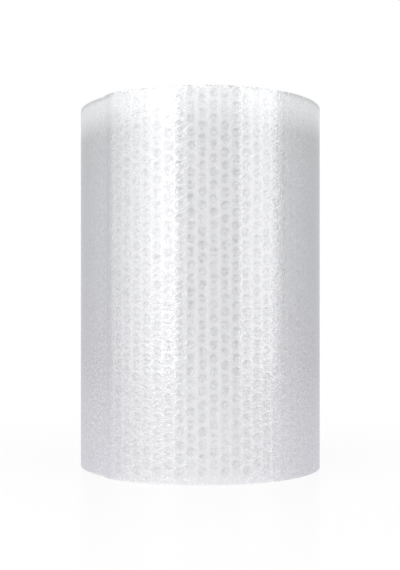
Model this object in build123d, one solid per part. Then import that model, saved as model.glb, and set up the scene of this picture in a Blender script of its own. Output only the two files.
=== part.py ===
from build123d import *
import math
import os

# A roll of small-bubble packing film, standing on one end.
# The film is wound with its flat side outwards and has no core, so that the innermost turn
# leaves an open eye along the middle. Lengths are in millimetres. +Z is up, and the origin
# is at the middle of the base.

# The roll
roll_width = 300.0
roll_radius = 104.6
eye_radius = 25.0

# The film as it lies in the roll: the turns press its bubbles down to the wall's thickness
bubble_pitch = 10.0
turn_pitch = 4.5
turn_gap = 1.2

# The sealed film between two bubbles, which is what is left at both ends of the film
land_thickness = 0.8

# How far the flat side stands out over each bubble of the outermost turn
bubble_rise = 1.2

# Where the loose end lies, in degrees counter-clockwise from +X as seen from above,
# and how closely it lies on the turn below
loose_end_angle = 221.4
loose_end_clearance = 0.3

# Inside the roll a turn is made of this many straight stretches
stretches_per_turn = 21

# The bubbles stand in a hexagon pattern with its columns along the roll's axis, so that the
# columns lie closer together than the bubbles of one column
hexagon_share = math.sin(math.radians(60))
column_spacing = bubble_pitch * hexagon_share
columns_around = round(math.tau * (roll_radius - turn_pitch / 2) / column_spacing)

# Each column goes up in levels, half a bubble apart: a bubble's top, a land, and so on
levels = 2 * round(roll_width / bubble_pitch)
level_height = roll_width / levels

column_turn = math.tau / columns_around
stretch_turn = math.tau / stretches_per_turn
wall = turn_pitch - turn_gap


def flat_side_radius(wound):
    """Radius of the film's flat side, where wound is the angle in from the loose end."""
    return roll_radius - turn_pitch * wound / math.tau


def place(radius, wound, height=0):
    """A point at a distance from the winding axis and at an angle in from the loose end."""
    angle = math.radians(loose_end_angle) + wound
    return Vector(radius * math.cos(angle), radius * math.sin(angle), height)


def at_other_end(point):
    """The same point of the section at the top of the roll."""
    return point + Vector(0, 0, roll_width)


def flat_face(*corners):
    """A face between corners that lie in one plane."""
    return Face(Wire.make_polygon(corners))


def bubble_column(index):
    """Points up a column of the outermost turn, where tops and lands follow each other."""
    wound = index * column_turn
    points = []
    for level in range(levels + 1):
        is_top = (index + level) % 2 == 0
        dip = 0 if is_top else bubble_rise
        points.append(place(flat_side_radius(wound) - dip, wound, level * level_height))
    return points


def sealed_column(radius, wound):
    """Points up a straight edge, at the levels of the columns."""
    return [place(radius, wound, level * level_height) for level in range(levels + 1)]


def outermost_columns():
    """All columns of the outermost turn, from the loose end until it goes below that end."""
    loose_end_radius = flat_side_radius(math.tau) + loose_end_clearance + land_thickness
    loose_end = sealed_column(loose_end_radius, 0)
    bubbles = [bubble_column(index) for index in range(1, columns_around)]
    below_loose_end = sealed_column(flat_side_radius(math.tau), math.tau)
    return [loose_end, *bubbles, below_loose_end]


def bubble_field(columns):
    """The outside of the roll: four flat faces fall from each bubble's top to its lands."""
    faces = []
    for index, (left, right) in enumerate(zip(columns, columns[1:])):
        for level in range(levels):
            a, b = left[level], right[level]
            c, d = right[level + 1], left[level + 1]
            if (index + level) % 2 == 0:
                faces += [flat_face(a, b, d), flat_face(b, c, d)]
            else:
                faces += [flat_face(a, b, c), flat_face(a, c, d)]
    return faces


def count_stretches():
    """How many straight stretches the film makes on its way in to the eye."""
    count = stretches_per_turn
    while flat_side_radius((count + 1) * stretch_turn) - wall > eye_radius:
        count += 1
    return count


def flat_side(stretches):
    """Section of the side that faces out, from below the loose end in to the eye."""
    turns_in = [step * stretch_turn for step in range(stretches_per_turn + 1, stretches + 1)]
    return [place(flat_side_radius(wound), wound) for wound in turns_in]


def bubble_side(stretches):
    """Section of the side that faces in, thinned to a land at both ends of the film."""
    loose_end = place(flat_side_radius(math.tau) + loose_end_clearance, 0)
    turns_in = [step * stretch_turn for step in range(1, stretches)]
    middle = [place(flat_side_radius(wound) - wall, wound) for wound in turns_in]
    eye_end = stretches * stretch_turn
    return [loose_end, *middle, place(flat_side_radius(eye_end) - land_thickness, eye_end)]


def wound_film():
    """The whole film as one solid, closed from its bubble field, its turns and its two ends."""
    columns = outermost_columns()
    stretches = count_stretches()
    turns = flat_side(stretches) + bubble_side(stretches)[::-1]
    faces = bubble_field(columns)

    # The turns rise straight from one end of the roll to the other
    faces.append(flat_face(*columns[-1], at_other_end(turns[0]), turns[0]))
    for near, far in zip(turns, turns[1:]):
        faces.append(flat_face(near, far, at_other_end(far), at_other_end(near)))
    faces.append(flat_face(*columns[0][::-1], turns[-1], at_other_end(turns[-1])))

    # The section is the same at both ends, because a column has an even number of levels
    section = [column[0] for column in columns] + turns
    faces.append(flat_face(*section))
    faces.append(flat_face(*[at_other_end(point) for point in section]))
    return Solid(Shell(faces))


def on_its_base(film):
    """Moves the roll so that the middle of its outline is over the origin."""
    middle = film.bounding_box().center()
    return film.translate(Vector(-middle.X, -middle.Y, 0))


os.makedirs("parts", exist_ok=True)
roll = on_its_base(wound_film())
export_step(roll, "parts/bubble_film_roll.step", write_pcurves=False)
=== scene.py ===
# %% [markdown]
# A roll of bubble film
#
# The object is one long piece of clear bubble film, wound with its flat side outwards and stood
# on one end. Everything below is built around the solid that the frame holds. The solid gives
# the size, the pitch of the turns and the place of the loose end, and Blender adds what makes
# the film look like film: thin clear sheets, real bubbles and the soft light on them.

# %% Load the frame
import math

import bmesh
import bpy
import numpy as np
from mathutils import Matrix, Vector, noise


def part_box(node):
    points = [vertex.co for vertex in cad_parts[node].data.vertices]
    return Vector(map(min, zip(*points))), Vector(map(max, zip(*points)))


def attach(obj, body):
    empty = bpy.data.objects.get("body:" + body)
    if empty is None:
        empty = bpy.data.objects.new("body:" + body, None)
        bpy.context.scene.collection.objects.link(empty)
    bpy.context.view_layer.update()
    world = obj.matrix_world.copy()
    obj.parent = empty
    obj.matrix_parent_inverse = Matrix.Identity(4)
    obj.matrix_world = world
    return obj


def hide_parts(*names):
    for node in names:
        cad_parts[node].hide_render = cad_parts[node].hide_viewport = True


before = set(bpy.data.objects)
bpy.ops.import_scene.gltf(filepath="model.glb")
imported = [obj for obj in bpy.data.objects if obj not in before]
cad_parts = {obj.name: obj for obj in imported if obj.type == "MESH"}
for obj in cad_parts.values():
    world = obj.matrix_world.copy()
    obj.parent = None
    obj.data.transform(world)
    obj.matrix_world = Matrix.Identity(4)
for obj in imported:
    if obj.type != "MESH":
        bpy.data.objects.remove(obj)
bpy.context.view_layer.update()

# %% [markdown]
# The sizes of the film
#
# A spiral whose turns are evenly spaced is simple to write: the radius falls by one turn's
# pitch for each turn that we go in. The outline's middle is then a quarter of that pitch away
# from the winding axis, so we find the axis from the solid's box. The bubbles lie in a hexagon
# pattern. Where the columns of two turns line up, the bubbles look crisp through the clear film,
# and between such places they blur. The photo shows them crisp at the front, in upright chains
# with pale lines between. So the columns are spaced to line up there, and a turn has an odd
# number of them, which puts each bubble half a step above the one behind it.

# %% Sizes and the spiral
BODY = "root"
NODE = "bubble_film_roll"

turn_pitch = 0.0045
roll_radius = 0.1046
eye_radius = 0.025
bubble_pitch = 0.010
loose_end_angle = math.radians(221.4)
crisp_angle = math.radians(275)
skin_gap = 0.00015

low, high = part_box(NODE)
roll_width = high.z - low.z
axis_x = (low.x + high.x) / 2 - turn_pitch / 4
axis_y = (low.y + high.y) / 2 + turn_pitch / 4

hexagon_share = math.sin(math.radians(60))
crisp_wound = crisp_angle - loose_end_angle
crisp_girth = math.tau * roll_radius - turn_pitch * (crisp_wound + math.pi)
columns_around = 2 * round(crisp_girth / (2 * bubble_pitch * hexagon_share) - 0.5) + 1
column_spacing = crisp_girth / columns_around
bubbles_up = round(roll_width / bubble_pitch)
film_length = (roll_radius**2 - (eye_radius + turn_pitch) ** 2) * math.pi / turn_pitch


def wound_at(along):
    """Angle in from the loose end of the point that lies this far along the film."""
    radius = np.sqrt(roll_radius**2 - turn_pitch * along / math.pi)
    return (roll_radius - radius) * math.tau / turn_pitch


def radius_at(wound):
    """Radius of the film's flat side at an angle in from the loose end."""
    return roll_radius - skin_gap - turn_pitch * wound / math.tau


def on_roll(along, height, depth):
    """Points of the roll, by their way along the film, height, and depth below its flat side."""
    wound = wound_at(along)
    radius = radius_at(wound) - depth
    angle = loose_end_angle + wound
    x = axis_x + radius * np.cos(angle)
    y = axis_y + radius * np.sin(angle)
    return np.stack(np.broadcast_arrays(x, y, height), axis=-1)


print("columns", columns_around, "spacing", round(column_spacing, 5))
print("film length", round(film_length, 2))

# %% [markdown]
# Turning arrays into meshes
#
# Film is thousands of small faces, so each piece is worked out as an array of points and made
# into a mesh in one go. Two helpers are enough: one that makes an object of any points and
# faces, and one that lists the faces of a sheet whose points form a grid.

# %% Mesh helpers
collection = bpy.context.scene.collection


def make_piece(name, points, faces, finish):
    """One smooth mesh object that rides on the roll."""
    mesh = bpy.data.meshes.new(name)
    mesh.from_pydata(points.reshape(-1, 3).tolist(), [], faces)
    mesh.validate()
    mesh.polygons.foreach_set("use_smooth", [True] * len(mesh.polygons))
    mesh.materials.append(finish)
    piece = bpy.data.objects.new(name, mesh)
    collection.objects.link(piece)
    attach(piece, BODY)
    print(name, len(mesh.vertices), "points", len(mesh.polygons), "faces")
    return piece


def grid_faces(rows, columns):
    """Four-sided faces between the points of a grid, row after row."""
    row, column = np.meshgrid(np.arange(rows - 1), np.arange(columns - 1), indexing="ij")
    corner = (row * columns + column).ravel()
    return np.stack([corner, corner + 1, corner + columns + 1, corner + columns], axis=1).tolist()


# %% [markdown]
# Writing a finish as sums
#
# A finish is easier to read as arithmetic than as a picture of nodes. This small class holds
# one socket, and a sum or a product on it adds the Math node that does the same. Every other
# node comes from one method, which takes its kind, its settings and what goes into it.

# %% Sockets with arithmetic
class Socket:
    """An output of a node, on which sums and products add Math nodes."""

    def __init__(self, finish, output):
        self.finish = finish
        self.output = output

    def math(self, operation, first, second):
        return self.finish.node("ShaderNodeMath", {"operation": operation}, {0: first, 1: second})

    def __add__(self, other):
        return self.math("ADD", self, other)

    def __radd__(self, other):
        return self.math("ADD", other, self)

    def __sub__(self, other):
        return self.math("SUBTRACT", self, other)

    def __rsub__(self, other):
        return self.math("SUBTRACT", other, self)

    def __mul__(self, other):
        return self.math("MULTIPLY", self, other)

    def __rmul__(self, other):
        return self.math("MULTIPLY", other, self)


class Finish:
    """A material, or the room's light, with its nodes built from an empty tree."""

    def __init__(self, holder):
        self.holder = holder
        self.holder.use_nodes = True
        self.tree = self.holder.node_tree
        self.tree.nodes.clear()

    def node(self, kind, settings, sockets, output=0):
        """A node with its settings made first and then its inputs, given back as one output."""
        made = self.tree.nodes.new(kind)
        for name, value in settings.items():
            if name == "stops":
                self.set_stops(made.color_ramp, value)
            else:
                setattr(made, name, value)
        for name, value in sockets.items():
            if isinstance(value, Socket):
                self.tree.links.new(value.output, made.inputs[name])
            else:
                made.inputs[name].default_value = value
        return None if output is None else Socket(self, made.outputs[output])

    def set_stops(self, ramp, stops):
        """The stops of a colour ramp, from pairs of a place and a colour."""
        while len(ramp.elements) < len(stops):
            ramp.elements.new(1.0)
        for element, (place, colour) in zip(ramp.elements, stops):
            element.position = place
            element.color = colour

    def mix_colour(self, factor, first, second):
        """A blend of two colours."""
        sockets = {0: factor, 6: first, 7: second}
        return self.node("ShaderNodeMix", {"data_type": "RGBA"}, sockets, 2)

    def mix_shader(self, factor, first, second):
        """A blend of two shaders."""
        return self.node("ShaderNodeMixShader", {}, {0: factor, 1: first, 2: second})

    def ramp(self, value, stops):
        """A colour ramp over a value."""
        return self.node("ShaderNodeValToRGB", {"stops": stops}, {"Fac": value})

    def noise(self, place, scale, detail, roughness=0.5):
        """Noise over the object, from 0 to 1."""
        sockets = {"Vector": place, "Scale": scale, "Detail": detail, "Roughness": roughness}
        return self.node("ShaderNodeTexNoise", {}, sockets)

    def surface(self, shader):
        """Ends the tree in this shader and gives back the material."""
        self.node("ShaderNodeOutputMaterial", {}, {"Surface": shader}, output=None)
        return self.holder


def new_finish(name):
    """An empty finish on a new material."""
    return Finish(bpy.data.materials.new(name))


# %% [markdown]
# Places on the film
#
# Wrinkles follow the film and not the room, so each piece of film carries its own map: how far
# along the film a point is and how high. Two kinds of wrinkle are read from it. Long ones lean
# up to the right near the top, and short level ones cross from land to land lower down. Both
# are thin ridges where a stretched noise passes through its middle value. The same map tells
# how far a point is from the nearest bubble: the bubbles stand in two patterns of upright rows,
# one half a step from the other, so we fold the map onto each pattern and keep the shorter way.

# %% Map, wrinkles and bubble distance
BLACK, WHITE = (0, 0, 0, 1), (1, 1, 1, 1)


def height_share(finish, film):
    """Height on the roll, from 0 at its base to 1 at its top."""
    return finish.node("ShaderNodeSeparateXYZ", {}, {"Vector": film}, "Y") * (1 / roll_width)


def bubble_distance(finish, film):
    """Distance from the nearest bubble's centre, as a share of the bubbles' pitch."""
    along = finish.node("ShaderNodeSeparateXYZ", {}, {"Vector": film}, "X") * (0.5 / column_spacing)
    upward = finish.node("ShaderNodeSeparateXYZ", {}, {"Vector": film}, "Y") * (1 / bubble_pitch)
    pair_share = 2 * column_spacing / bubble_pitch
    squares = []
    for shift in (0.0, 0.5):
        aside = along + shift
        aside = (aside - aside.math("ROUND", aside, 0.0)) * pair_share
        rise = upward + shift
        rise = rise - rise.math("ROUND", rise, 0.0)
        squares.append(aside * aside + rise * rise)
    nearest = squares[0].math("MINIMUM", squares[0], squares[1])
    return nearest.math("SQRT", nearest, 0.0)


def wrinkles(finish, film, lean, length, width, breadth):
    """Thin ridges that run along one direction of the film."""
    settings = {"vector_type": "TEXTURE"}
    sockets = {"Vector": film, "Rotation": (0, 0, math.radians(lean)), "Scale": (length, width, 1)}
    place = finish.node("ShaderNodeMapping", settings, sockets)
    value = finish.noise(place, scale=1.0, detail=2.0, roughness=0.45)
    return finish.ramp(value, [(0.5 - breadth, BLACK), (0.5, WHITE), (0.5 + breadth, BLACK)])


# %% [markdown]
# The relief of the clear skin
#
# Wound film is never quite smooth. Its wrinkles, its dents and the raised ring of each seal are
# finer than any mesh that we could afford, so they are a bump, which only changes how the light
# falls. The leaning wrinkles fade in towards the top and the level ones towards the base.

# %% Relief of the skin
WRINKLE_HEIGHT = 0.00008
DENT_SHARE = 0.08
SEAL_SHARE = 0.1
SEAL_CLOUDING = 0.7


def skin_relief(finish, film, height, cloud, seal):
    """Wrinkles, fine dents and the rings of the seals, as a bump."""
    leaning = wrinkles(finish, film, lean=27, length=0.015, width=0.0042, breadth=0.06)
    level = wrinkles(finish, film, lean=3, length=0.008, width=0.0034, breadth=0.06)
    high_up = finish.ramp(height, [(0.35, BLACK), (0.7, WHITE)])
    ridge = finish.mix_colour(high_up, level, leaning)
    dent = finish.noise(film, scale=420.0, detail=2.0)
    relief = ridge + dent * DENT_SHARE + seal * (SEAL_SHARE + SEAL_CLOUDING * cloud)
    sockets = {"Strength": 1.0, "Distance": WRINKLE_HEIGHT, "Height": relief}
    return finish.node("ShaderNodeBump", {}, sockets, "Normal")


print("wrinkles stand", WRINKLE_HEIGHT, "high")

# %% [markdown]
# The haze of the clear skin
#
# Clear film turns hazy towards the edge of the roll, where we look along it and not through it.
# The haze is grey, so where it thickens it is also painted shade that darkens the roll's edges.
# Layer Weight tells how much we look along a surface, so it decides how much haze is mixed in.
# Low down the haze breaks up into fine squiggles, and at the film's cut top edge into specks.
# These are painted specks of light and shade for the sparkle of the film, and both come from the
# same fine noise, cut hard into light and dark.

# %% Haze of the skin
SKIN_HAZE = 0.12
CLOUDING = 0.6
# Painted shade: the grey haze thickens towards the roll's edges and darkens them.
EDGE_HAZE_AND_SHADE = 1.15
EDGE_BEND = 0.4
EDGE_SHARE = 0.87
LOSS_LOW_DOWN = 0.25
# Painted specks of light and shade, low down and at the cut top edge.
PAINTED_SPECK_SHARE = 0.2
PAINTED_SQUIGGLE_SHARE = 0.6
SEAL_HAZE = 0.12
CUT_EDGE_PAINTED_SPECKS = 0.8
CUT_CLEARING = 0.1


def skin_haze_and_shade(finish, film, height, cloud, seal):
    """How much grey haze hides what lies under the skin, with painted shade towards its edges."""
    cut_edge = finish.ramp(height, [(0.988, BLACK), (0.997, WHITE)])
    low_down = finish.ramp(height, [(0.15, WHITE), (0.5, BLACK)])
    grain = finish.noise(film, scale=380.0, detail=2.0, roughness=0.7)
    # Painted specks of light and shade, for the sparkle of the film.
    painted_specks = finish.ramp(grain, [(0.46, BLACK), (0.62, WHITE)])
    painted_squiggles = painted_specks * (PAINTED_SPECK_SHARE + PAINTED_SQUIGGLE_SHARE * low_down) + seal * SEAL_HAZE
    across = finish.node("ShaderNodeLayerWeight", {}, {"Blend": 0.5}, "Facing")
    # Painted shade: more grey haze towards the roll's edges.
    edge = across * (1 + EDGE_BEND - EDGE_BEND * across) * EDGE_HAZE_AND_SHADE
    uneven = 1 - CLOUDING / 2 + CLOUDING * cloud
    hazy = SKIN_HAZE * uneven + edge * (EDGE_SHARE - LOSS_LOW_DOWN * low_down + painted_squiggles)
    return hazy + cut_edge * (CUT_EDGE_PAINTED_SPECKS * painted_specks - CUT_CLEARING)


print("haze", SKIN_HAZE, "at the front")

# %% [markdown]
# The clear skin
#
# The film is clear, so most of what we see is light. The flat side mirrors the lamps. A glass
# shader over thousands of bubbles is slow and noisy, so the skin is a mix of clear, haze and
# gloss. The haze is grey and painted lighter near the open top, as painted light where light
# falls in between the turns, and takes a cool tint towards the base. Over each bubble a few pale
# curls are painted highlights.

# %% Clear skin finish
UNDER_SKIN_HAZE = 0.4
SKIN_GLOSS = 0.1
EDGE_GLOSS = 0.38
# Painted highlights: pale curls over each bubble.
CURL_HIGHLIGHT_SHARE = 0.32
CURL_HIGHLIGHT_COLOUR = (0.98, 0.98, 0.99, 1)
# Painted light and shade by height: a grey haze, lighter near the open top.
HAZE_PAINTED_LIGHT_AND_SHADE = [
    (0.0, (0.54, 0.53, 0.585, 1)), (0.3, (0.41, 0.41, 0.445, 1)),
    (0.90, (0.36, 0.37, 0.385, 1)), (0.965, (0.59, 0.60, 0.61, 1)),
    (0.985, (0.59, 0.60, 0.61, 1)), (0.995, (0.45, 0.47, 0.48, 1))]


def dull_film(finish, colour, bump):
    """A shader with no gloss of its own, for the grey haze and the painted highlight curls."""
    return finish.node("ShaderNodeBsdfPrincipled", {}, {
        "Base Color": colour, "Roughness": 0.6, "Specular IOR Level": 0.0, "Normal": bump})


def clear_skin(name, haze_share):
    """The flat side: clear, with haze and painted shade towards its edges, and glossy."""
    finish = new_finish(name)
    film = finish.node("ShaderNodeAttribute", {"attribute_name": "film"}, {}, "Vector")
    height = height_share(finish, film)
    cloud = finish.noise(film, scale=26.0, detail=3.0)
    from_bubble = bubble_distance(finish, film)
    seal = finish.ramp(from_bubble, [(0.28, BLACK), (0.36, WHITE), (0.44, BLACK)])
    inside = finish.ramp(from_bubble, [(0.34, WHITE), (0.44, BLACK)])
    # Painted highlight curls inside each bubble.
    highlight_curl = wrinkles(finish, film, lean=65, length=0.006, width=0.003, breadth=0.05) * inside
    bump = skin_relief(finish, film, height, cloud, seal)
    # The grey haze: painted shade where it thickens, painted light near the top.
    haze = dull_film(finish, finish.ramp(height, HAZE_PAINTED_LIGHT_AND_SHADE), bump)
    painted_highlight = dull_film(finish, CURL_HIGHLIGHT_COLOUR, bump)
    clear = finish.node("ShaderNodeBsdfTransparent", {}, {"Color": WHITE})
    gloss = finish.node("ShaderNodeBsdfPrincipled", {}, {
        "Base Color": WHITE, "Roughness": 0.06, "Metallic": 1.0, "Normal": bump})
    with_painted_highlights = finish.mix_shader(highlight_curl * CURL_HIGHLIGHT_SHARE * haze_share, clear, painted_highlight)
    hazy = skin_haze_and_shade(finish, film, height, cloud, seal) * haze_share
    body = finish.mix_shader(hazy, with_painted_highlights, haze)
    fresnel = finish.node("ShaderNodeFresnel", {}, {"IOR": 1.5, "Normal": bump})
    return finish.surface(finish.mix_shader(fresnel * EDGE_GLOSS + SKIN_GLOSS, body, gloss))


skin_finish = clear_skin("clear_skin", 1.0)
under_skin_finish = clear_skin("clear_under_skin", UNDER_SKIN_HAZE)
print("finishes", skin_finish.name, under_skin_finish.name)

# %% [markdown]
# The bubbled film
#
# Under the skin lies the film that holds the bubbles. Its bubbles are painted greyer than its
# sealed lands: painted shade for the darker gap between two turns that a bubble lets us see down
# into. Each piece of this film carries a value for how deep in a bubble a point is, and the
# finish reads it, also to make the bubbles glossy and the lands dull, since the skin over the
# lands shines. Near both ends of the roll the film is painted paler, as painted light. The
# bubbles of the top row are painted darker still, as painted shade, because light falls right
# through them. The film of the outermost turn is partly clear, so that the next turn shows
# through it.

# %% Bubbled film finish
LAND_COLOUR = (0.84, 0.84, 0.85, 1)
# Painted shade: the bubbles greyer than the sealed lands.
CUP_SHADE_COLOUR = (0.72, 0.725, 0.745, 1)
# Painted light: the film paler near both ends of the roll.
LIT_COLOUR = (0.97, 0.975, 0.98, 1)
# Painted shade: the bubbles of the top row darker still.
TOP_ROW_SHADE_COLOUR = (0.74, 0.76, 0.77, 1)
LIT_SHARE = 0.6
FINE_HEIGHT = 0.0004
FIRST_TURN_CLEARNESS = 0.45


def bubbled_film(name, clearness):
    """The bubble side: paler on the sealed lands and greyer in the bubbles, as painted shade."""
    finish = new_finish(name)
    cup = finish.node("ShaderNodeAttribute", {"attribute_name": "cup"}, {}, "Fac")
    at_end = finish.node("ShaderNodeAttribute", {"attribute_name": "at_end"}, {}, "Fac")
    film = finish.node("ShaderNodeAttribute", {"attribute_name": "film"}, {}, "Vector")
    fine = finish.noise(film, scale=340.0, detail=3.0, roughness=0.6)
    near_ends = [(0.0, WHITE), (0.45, BLACK), (0.88, BLACK), (0.97, WHITE)]
    # Painted light near both ends of the roll.
    lit = finish.ramp(height_share(finish, film), near_ends)
    # Painted shade in the bubbles.
    colour = finish.mix_colour(cup, LAND_COLOUR, CUP_SHADE_COLOUR)
    colour = finish.mix_colour(lit * LIT_SHARE, colour, LIT_COLOUR)
    # Painted shade in the bubbles of the top row.
    colour = finish.mix_colour(at_end * cup, colour, TOP_ROW_SHADE_COLOUR)
    sockets = {"Strength": 1.0, "Distance": FINE_HEIGHT, "Height": fine}
    bump = finish.node("ShaderNodeBump", {}, sockets, "Normal")
    land = finish.node("ShaderNodeBsdfPrincipled", {}, {
        "Base Color": colour, "Roughness": 0.3, "Specular IOR Level": 0.15, "Normal": bump})
    bubble = finish.node("ShaderNodeBsdfPrincipled", {}, {
        "Base Color": colour, "Roughness": 0.07, "Specular IOR Level": 1.0, "Normal": bump})
    body = finish.mix_shader(cup, land, bubble)
    clear = finish.node("ShaderNodeBsdfTransparent", {}, {"Color": WHITE})
    return finish.surface(finish.mix_shader(clearness, body, clear) if clearness else body)


bubble_finish = bubbled_film("bubbled_film", 0.0)
clear_bubble_finish = bubbled_film("clear_bubbled_film", FIRST_TURN_CLEARNESS)
print("finishes", bubble_finish.name, clear_bubble_finish.name)

# %% [markdown]
# The wound film
#
# From the ends we see the edges of many turns. Light scatters between them, so the film looks
# milky there, and the gaps between the turns stay pale as well. Clear film over so many turns
# would be slow to render and hardly show, so these turns are opaque, pale, glossy and a little
# cloudy.

# %% Wound film finish
DEEP_COLOUR = (0.74, 0.75, 0.78, 1)
MILKY_COLOUR = (0.88, 0.885, 0.90, 1)


def wound_film():
    """The turns inside the roll: pale, glossy and a little cloudy."""
    finish = new_finish("wound_film")
    place = finish.node("ShaderNodeTexCoord", {}, {}, "Object")
    cloud = finish.noise(place, scale=60.0, detail=3.0)
    colour = finish.mix_colour(cloud, DEEP_COLOUR, MILKY_COLOUR)
    sockets = {"Base Color": colour, "Roughness": 0.22, "Specular IOR Level": 0.7}
    return finish.surface(finish.node("ShaderNodeBsdfPrincipled", {}, sockets))


turn_finish = wound_film()
print("finish", turn_finish.name)

# %% [markdown]
# The loose end
#
# The outermost turn ends in a cut edge that sags a little towards the turn below it. We could
# push its points in by hand, but the skin and its bubbles have to move alike. So the sag is one
# formula that both use.

# %% Sag of the loose end
END_SAG = 0.0024
sag_reach = 1.3 * column_spacing


def sag(along):
    """How far the film hangs in towards the turn below, near the loose end."""
    lie = np.clip(along / sag_reach, 0, 1)
    return END_SAG * (1 - lie * lie * (3 - 2 * lie))


print("the loose end sags by", END_SAG)

# %% [markdown]
# The shape of a bubble
#
# On the real film each bubble is a small sealed cup that points into the roll, and we look
# through the flat side into it. One could bend a fine grid into cups, but a grid makes ragged
# circles. Here each bubble has its own rings of points inside a six-sided cell, so that its rim
# is round and the cells still meet without a seam. The rings run from the cell's edge in to the
# tip of the cup. Each ring lies at its own share of the cup's depth, and chance pushes its
# points about by its own small length, so that no two bubbles are dented alike.

# %% Rings of a bubble
RIM, WALL, BED = 0.0037, 0.0029, 0.0016
CELL_SIDES = 6
RING_STEPS = 2 * CELL_SIDES
RING_DEPTHS = [0.0, 0.0, 0.72, 0.97, 1.0]
RING_DENTS = [0.0, 0.0001, 0.0003, 0.00042, 0.0005]
cell_reach = bubble_pitch / math.sqrt(3)


def bubble_centres(first, last, lowest, highest):
    """Centres of the bubbles in a run of columns, as way along the film and height."""
    centres = []
    for column in range(first, last):
        for level in range(column % 2, 2 * bubbles_up + 1, 2):
            height = level * bubble_pitch / 2
            if lowest <= height <= highest:
                centres.append((column * column_spacing, height))
    return np.array(centres)


def ring(reach, steps):
    """Points of a circle round a bubble's centre."""
    turn = np.arange(steps) * math.tau / steps
    return np.stack([np.cos(turn), np.sin(turn)], axis=1) * reach


def bubble_faces(starts, with_cell):
    """Faces of one bubble, between rings whose points start at these numbers."""
    faces = []
    if with_cell:
        for side in range(CELL_SIDES):
            near = starts[1] + 2 * side
            far = starts[1] + (2 * side + 2) % RING_STEPS
            faces.append((side, (side + 1) % CELL_SIDES, far, near + 1, near))
    for outer, inner in ((starts[1], starts[2]), (starts[2], starts[3])):
        for step in range(RING_STEPS):
            after = (step + 1) % RING_STEPS
            faces.append((outer + step, outer + after, inner + after, inner + step))
    for step in range(RING_STEPS):
        faces.append((starts[3] + step, starts[3] + (step + 1) % RING_STEPS, starts[4]))
    return faces


print("a bubble's cell reaches", round(cell_reach, 5))

# %% [markdown]
# What the finishes read
#
# A finish could read an image that is laid over the mesh. Here each point carries its place on
# the film instead, and for bubbles also how deep in a cup it lies, so neither an image nor a UV
# map is needed. The cells are made side by side, so their shared edges are welded at the end.

# %% Values on the points, and welding
WELD_REACH = 2e-6


def add_values(piece, name, values):
    """A value for each point, which a finish can read."""
    layer = piece.data.attributes.new(name, "FLOAT", "POINT")
    layer.data.foreach_set("value", values.astype(np.float32).ravel())


def add_film_map(piece, along, height):
    """Where each point is on the film: how far along it and how high."""
    layer = piece.data.attributes.new("film", "FLOAT_VECTOR", "POINT")
    places = np.stack([along, height, np.zeros_like(along)], axis=-1)
    layer.data.foreach_set("vector", places.astype(np.float32).ravel())


def weld(piece):
    """Joins the cells along their shared edges and drops what the cut edge squashed flat."""
    whole_mesh = bmesh.new()
    whole_mesh.from_mesh(piece.data)
    bmesh.ops.remove_doubles(whole_mesh, verts=whole_mesh.verts, dist=WELD_REACH)
    bmesh.ops.dissolve_degenerate(whole_mesh, edges=whole_mesh.edges, dist=WELD_REACH)
    whole_mesh.to_mesh(piece.data)
    whole_mesh.free()
    print(piece.name, "welded to", len(piece.data.vertices), "points")


# %% [markdown]
# Many bubbles at once
#
# An Array modifier could copy one bubble thousands of times, but then all of them would be
# alike. So the points of all bubbles are one array, with a row for each bubble, and every step
# below works on the whole array. The pushes are cut off at a limit, because a very large one
# would fold a cup's tip over. The bubbles in the top row carry a value of their own, because
# their finish paints them a little darker, as painted shade.

# %% Bubbles
CUP_DEPTH = 0.0030
SHIFT_LIMIT = 1.6
DENT_SPREAD = 0.6
DENT_LIMIT = 1.0
top_row_reach = 0.4 * bubble_pitch
chance = np.random.default_rng(7)


def make_bubbles(name, centres, fullness, below, with_cells, finish):
    """One piece with a cup for each centre, and the flat cell round it if asked."""
    cell = ring(cell_reach, CELL_SIDES) * (column_spacing / (bubble_pitch * hexagon_share), 1.0)
    cell = cell if with_cells else np.zeros((0, 2))
    rings = [cell, ring(RIM, RING_STEPS), ring(WALL, RING_STEPS), ring(BED, RING_STEPS), ring(0, 1)]
    sizes = [len(points) for points in rings]
    starts = np.cumsum([0] + sizes)
    shares = np.repeat(RING_DEPTHS, sizes)
    dents = np.repeat(RING_DENTS, sizes)
    shifts = np.concatenate(rings)[None] + np.zeros((len(centres), 1, 1))
    pushed = np.clip(chance.normal(0, 1, shifts.shape), -SHIFT_LIMIT, SHIFT_LIMIT)
    shifts += pushed * dents[None, :, None]
    along = np.maximum(centres[:, :1] + shifts[:, :, 0], 0.0)
    height = np.clip(centres[:, 1:] + shifts[:, :, 1], 0.0, roll_width)
    dented = np.clip(chance.normal(0, DENT_SPREAD, along.shape), -DENT_LIMIT, DENT_LIMIT)
    dented = dented * dents[None, :]
    depth = below + sag(along) + fullness[:, None] * (CUP_DEPTH * shares[None, :] + dented)
    one_bubble = [[int(corner) for corner in face] for face in bubble_faces(starts, with_cells)]
    faces = []
    for first in range(0, len(centres) * shifts.shape[1], shifts.shape[1]):
        faces += [[first + corner for corner in face] for face in one_bubble]
    piece = make_piece(name, on_roll(along, height, depth), faces, finish)
    add_film_map(piece, along, height)
    add_values(piece, "cup", fullness[:, None] * shares[None, :])
    # The top row's value, which the finish reads to paint shade there.
    from_top_row = np.abs(centres[:, 1:] - roll_width + bubble_pitch / 2)
    in_top_row = np.clip(1 - from_top_row / top_row_reach, 0, 1)
    add_values(piece, "at_end", in_top_row + np.zeros_like(along))
    weld(piece)
    return piece


print("a full bubble is", CUP_DEPTH, "deep")

# %% [markdown]
# The bubbles of the two outer turns
#
# We see the bubbles of the outermost turn through its flat side, and those of the second turn
# through the first. Bubbles that the knife cut at the film's edges hold no air and lie flat.
# Those at the loose end and next to the floor are pressed to less than a third of the depth.
# The rest hold nearly as much air as they can, each a little more or less than the next.

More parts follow.
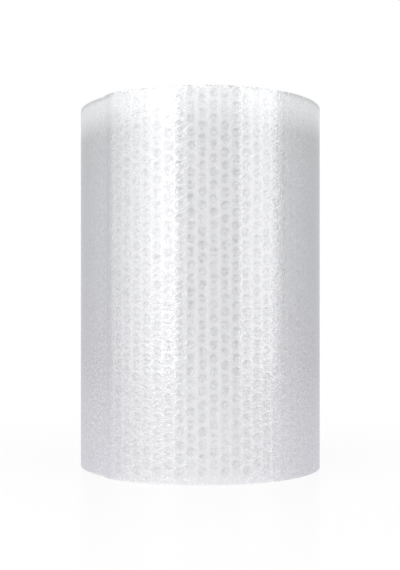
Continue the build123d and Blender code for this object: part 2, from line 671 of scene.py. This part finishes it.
# %% Bubbles of the two outer turns
SKIN_TO_CUPS = 0.0005
FIRST_TURN_FULLNESS = (0.7, 1.0)
SECOND_TURN_FULLNESS = (0.8, 0.95)
CUT_FULLNESS = 0.06
BASE_FULLNESS = 0.25
LOOSE_FULLNESS = 0.3
cut_reach = 0.25 * bubble_pitch
base_reach = 0.6 * bubble_pitch
first_end = columns_around + 3
second_end = 2 * columns_around - 1


def is_cut(centres):
    """Whether the knife at the film's upper or lower edge went through each bubble."""
    return np.abs(centres[:, 1] - roll_width / 2) > roll_width / 2 - cut_reach


centres = bubble_centres(0, first_end, 0.0, roll_width)
fullness = chance.uniform(*FIRST_TURN_FULLNESS, len(centres))
fullness[centres[:, 0] < sag_reach] = LOOSE_FULLNESS
fullness[centres[:, 1] < base_reach] = BASE_FULLNESS
fullness[is_cut(centres) | (centres[:, 0] < 0.5 * column_spacing)] = CUT_FULLNESS
make_bubbles("outermost_bubbles", centres, fullness, SKIN_TO_CUPS, True, clear_bubble_finish)

centres = bubble_centres(first_end, second_end, 0.0, roll_width)
fullness = chance.uniform(*SECOND_TURN_FULLNESS, len(centres))
fullness[is_cut(centres)] = CUT_FULLNESS
make_bubbles("second_turn_bubbles", centres, fullness, SKIN_TO_CUPS, True, bubble_finish)

# %% [markdown]
# The turns inside
#
# From above, a roll of film is one long line that winds in to the eye. The film is far thinner
# than its bubbles, so here the line is a thin wall over the whole width: a strip of four long
# sides that follows the spiral in.

# %% Turns
FILM_WALL = 0.00022
turns_start = second_end * column_spacing
turn_steps = 4 * int((film_length - turns_start) / column_spacing)
way = np.linspace(turns_start, film_length - column_spacing / 2, turn_steps)
wall_points = np.stack([
    on_roll(way, 0.0, 0.0),
    on_roll(way, roll_width, 0.0),
    on_roll(way, roll_width, FILM_WALL),
    on_roll(way, 0.0, FILM_WALL),
    on_roll(way, 0.0, 0.0),
])
make_piece("wound_turns", wall_points, grid_faces(5, turn_steps), turn_finish)

# %% [markdown]
# The bubbles of the turns inside
#
# From the ends these bubbles look like small beads on the inner side of each turn. The whole
# film has over twenty thousand, and most of them are hidden for good. So they are only made
# where they can be seen: in the last rows at both ends and round the eye.

# %% Bubbles at both ends and round the eye
END_FULLNESS = (0.85, 1.1)
EYE_FULLNESS = (0.85, 1.0)
last_column = int(film_length / column_spacing)
seen_depth = 1.6 * bubble_pitch
for name, lowest, highest in (("top_end_bubbles", roll_width - seen_depth, roll_width),
                              ("base_end_bubbles", 0.0, seen_depth)):
    centres = bubble_centres(second_end, last_column, lowest, highest)
    fullness = chance.uniform(*END_FULLNESS, len(centres))
    make_bubbles(name, centres, fullness, FILM_WALL, False, bubble_finish)

eye_columns = math.ceil(math.tau * (eye_radius + 2 * turn_pitch) / column_spacing)
eye_start = last_column - eye_columns
centres = bubble_centres(eye_start, last_column, seen_depth, roll_width - seen_depth)
fullness = chance.uniform(*EYE_FULLNESS, len(centres))
make_bubbles("eye_bubbles", centres, fullness, FILM_WALL, False, bubble_finish)

# %% [markdown]
# The mesh of the skin
#
# The flat side of the outermost turn is pulled tight over the bubbles, so it stands out a hair
# over each one and sinks between them. Creases run from land to land. They are part of the
# mesh, because they break up the bright bands of light.

# %% Pillows and creases
PILLOW = 0.00009
CREASE = 0.00005


def nearest_bubble(way, up):
    """Distance from each point of the film to the nearest bubble's centre."""
    nearest = np.full(way.shape, 1.0)
    for shift in (0, 1):
        column = np.floor(way / column_spacing) + shift
        start = np.mod(column, 2) * 0.5
        row = np.round(up / bubble_pitch - start) + start
        distance = np.hypot(way - column * column_spacing, up - row * bubble_pitch)
        nearest = np.minimum(nearest, distance)
    return nearest


def crease(way, up, lean, length, width, seed):
    """Smooth noise over the film, stretched to long shapes that lean up along it."""
    along = (way * math.cos(lean) + up * math.sin(lean)) / length
    across = (up * math.cos(lean) - way * math.sin(lean)) / width
    flat = [noise.noise(Vector((x, y, seed))) for x, y in zip(along.ravel(), across.ravel())]
    return np.array(flat).reshape(way.shape)


print("the skin stands out", PILLOW, "over a bubble, and its creases", CREASE)

# %% [markdown]
# The skin of the outermost turn
#
# A Subdivision modifier would round off the creases, so the skin is a fine grid from the start.
# It follows the spiral once round and a little further, under its own loose end. In the picture
# it stands for the frame's solid, which isn't shown then.

# %% Skin
skin_columns = columns_around + 2
skin_end = skin_columns * column_spacing
along_steps = 5 * skin_columns
up_steps = 6 * bubbles_up
ways = np.linspace(0, skin_end, along_steps + 1)
ups = np.linspace(0, roll_width, up_steps + 1)
way, up = np.meshgrid(ways, ups)
pillow = PILLOW * np.clip(1 - (nearest_bubble(way, up) / cell_reach) ** 2, 0, 1)
leaning = crease(way, up, lean=math.radians(28), length=0.014, width=0.0032, seed=3.0)
level = crease(way, up, lean=0.0, length=0.008, width=0.0034, seed=9.0)
high_up = np.clip(up / roll_width * 2 - 0.7, 0, 1)
creases = CREASE * (leaning * high_up + level * (1 - high_up) - 0.5)
skin_points = on_roll(way, up, PILLOW + sag(way) - pillow - creases)
skin = make_piece("clear_skin", skin_points, grid_faces(*way.shape), skin_finish)
add_film_map(skin, way, up)
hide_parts(NODE)

# %% [markdown]
# The skin of the second turn
#
# The second turn's flat side lies close under the outermost bubbles and is only seen through
# them, so a plain sheet with less haze is enough. Clear film lets the light through, so neither
# sheet throws a shadow or stops the soft light between the pieces below it.

# %% Skin of the second turn
ways = np.linspace(skin_end, turns_start, 2 * columns_around)
ups = np.linspace(0, roll_width, 2 * bubbles_up + 1)
way, up = np.meshgrid(ways, ups)
under_points = on_roll(way, up, 0.0)
under_skin = make_piece("under_skin", under_points, grid_faces(*way.shape), under_skin_finish)
add_film_map(under_skin, way, up)

for clear_piece in (skin, under_skin):
    clear_piece.visible_shadow = False
    clear_piece.visible_diffuse = False

# %% [markdown]
# The room
#
# The roll stands in a pale room. The camera and the film's gloss see the room as plain white,
# whatever light it gives, so the background stays white while the light on the roll is set by
# a number of its own.

# %% Room
ROOM_LIGHT = 0.75
ROOM_COLOUR = (0.99, 0.99, 1, 1)
scene = bpy.context.scene
scene.view_settings.view_transform = "Standard"

world = bpy.data.worlds.new("pale_room")
scene.world = world
room = Finish(world)
seen = (room.node("ShaderNodeLightPath", {}, {}, "Is Camera Ray")
        + room.node("ShaderNodeLightPath", {}, {}, "Is Glossy Ray")
        + room.node("ShaderNodeLightPath", {}, {}, "Is Transmission Ray"))
light = room.node("ShaderNodeBackground", {}, {"Color": ROOM_COLOUR, "Strength": ROOM_LIGHT})
white = room.node("ShaderNodeBackground", {}, {"Color": WHITE, "Strength": 1.0})
both = room.mix_shader(seen, light, white)
room.node("ShaderNodeOutputWorld", {}, {"Surface": both}, output=None)
print("room light", ROOM_LIGHT)

# %% [markdown]
# The floor
#
# The roll stands on a pale floor. Near the roll a share of the floor's own shading shows, so
# the floor takes the roll's shadow, and that share fades out with distance, so that no line
# divides the floor from the room. In the gloss the floor is mostly white as well.

# %% Floor
FLOOR_SHOWN = 0.2
FLOOR_MIRRORED = 0.7
FLOOR_REACH = 6.0
FLOOR_COLOUR = (0.94, 0.94, 0.94, 1)
floor_finish = new_finish("pale_floor")
place = floor_finish.node("ShaderNodeTexCoord", {}, {}, "Object")
away = floor_finish.node("ShaderNodeVectorMath", {"operation": "LENGTH"}, {0: place}, "Value")
near = floor_finish.ramp(away, [(0.12, WHITE), (0.45, BLACK)])
seen = floor_finish.node("ShaderNodeLightPath", {}, {}, "Is Camera Ray")
mirrored = (floor_finish.node("ShaderNodeLightPath", {}, {}, "Is Glossy Ray")
            + floor_finish.node("ShaderNodeLightPath", {}, {}, "Is Transmission Ray"))
matt = floor_finish.node("ShaderNodeBsdfPrincipled", {}, {
    "Base Color": FLOOR_COLOUR, "Roughness": 0.1})
glow = floor_finish.node("ShaderNodeEmission", {}, {"Color": WHITE, "Strength": 1.0})
white_share = seen * (1 - near * FLOOR_SHOWN) + mirrored * FLOOR_MIRRORED
both = floor_finish.mix_shader(white_share, matt, glow)
floor_mesh = bpy.data.meshes.new("floor")
corners = [(x * FLOOR_REACH, y * FLOOR_REACH, 0) for x, y in ((-1, -1), (1, -1), (1, 1), (-1, 1))]
floor_mesh.from_pydata(corners, [], [(0, 1, 2, 3)])
floor_mesh.materials.append(floor_finish.surface(both))
floor = bpy.data.objects.new("floor", floor_mesh)
collection.objects.link(floor)
print("floor shows", FLOOR_SHOWN, "of its own shading")

# %% [markdown]
# Lamps
#
# The bright bands on the roll are the mirror images of tall soft lamps, so the lamps' places
# decide where the bands lie. Bands painted on the film would stay behind when we walk round it,
# and mirror images move as they do on the real roll. The left band is brightest at its sharp
# right edge and fades to the left, so it is made of four lamps side by side, each dimmer than
# the last. The middle of the roll faces the gap between the lamps. Its gloss is weak there, so
# we look down into the bubbles.

# %% Lamps
LAMP_DISTANCE = 1.3
LAMP_HEIGHT = 1.5


def soft_lamp(name, azimuths, radiance):
    """A tall soft lamp between two azimuths, counted to the right of the roll's front."""
    first, last = (math.radians(azimuth) for azimuth in azimuths)
    middle = (first + last) / 2
    data = bpy.data.lights.new(name, "AREA")
    data.shape = "RECTANGLE"
    data.size = 2 * LAMP_DISTANCE * math.tan((last - first) / 2)
    data.size_y = LAMP_HEIGHT
    data.energy = radiance * math.pi * data.size * data.size_y
    lamp = bpy.data.objects.new(name, data)
    aside = LAMP_DISTANCE * math.sin(middle)
    in_front = LAMP_DISTANCE * math.cos(middle)
    lamp.location = (aside, -in_front, LAMP_HEIGHT / 2)
    lamp.rotation_euler = (math.radians(90), 0, middle)
    collection.objects.link(lamp)
    print(name, "width", round(data.size, 2), "power", round(data.energy, 1))


for name, azimuths, radiance in (
        ("left_lamp_bright", (-32, -19), 2.05),
        ("left_lamp_middle", (-48, -32), 1.75),
        ("left_lamp_soft", (-64, -48), 1.08),
        ("left_lamp_dim", (-84, -64), 0.67),
        ("right_lamp", (35, 54), 1.3),
        ("right_lamp_soft", (54, 72), 1.75)):
    soft_lamp(name, azimuths, radiance)

# %% [markdown]
# Camera
#
# The camera stands level, about half way up the roll, as the one that took the photo did. Its
# small shift does what the photo's framing did, which put the roll a little off the middle.
# The shift is counted in pixels of the photo, and Blender takes it as a share of the longer
# side of the picture.

# %% Camera
PHOTO_HEIGHT = 570
SHIFT_ASIDE = 40.35
SHIFT_UP = 26.5
SENSOR_WIDTH = 36.0
LENS = 59.38
CAMERA_PLACE = (-0.0342, -0.8055, 0.1303)
camera_data = bpy.data.cameras.new("camera")
camera_data.sensor_width = SENSOR_WIDTH
camera_data.lens = LENS
camera_data.shift_x = SHIFT_ASIDE / PHOTO_HEIGHT
camera_data.shift_y = SHIFT_UP / PHOTO_HEIGHT
camera = bpy.data.objects.new("camera", camera_data)
camera.location = CAMERA_PLACE
camera.rotation_euler = (math.radians(90), 0, 0)
collection.objects.link(camera)
scene.camera = camera
print("camera at", tuple(camera.location))
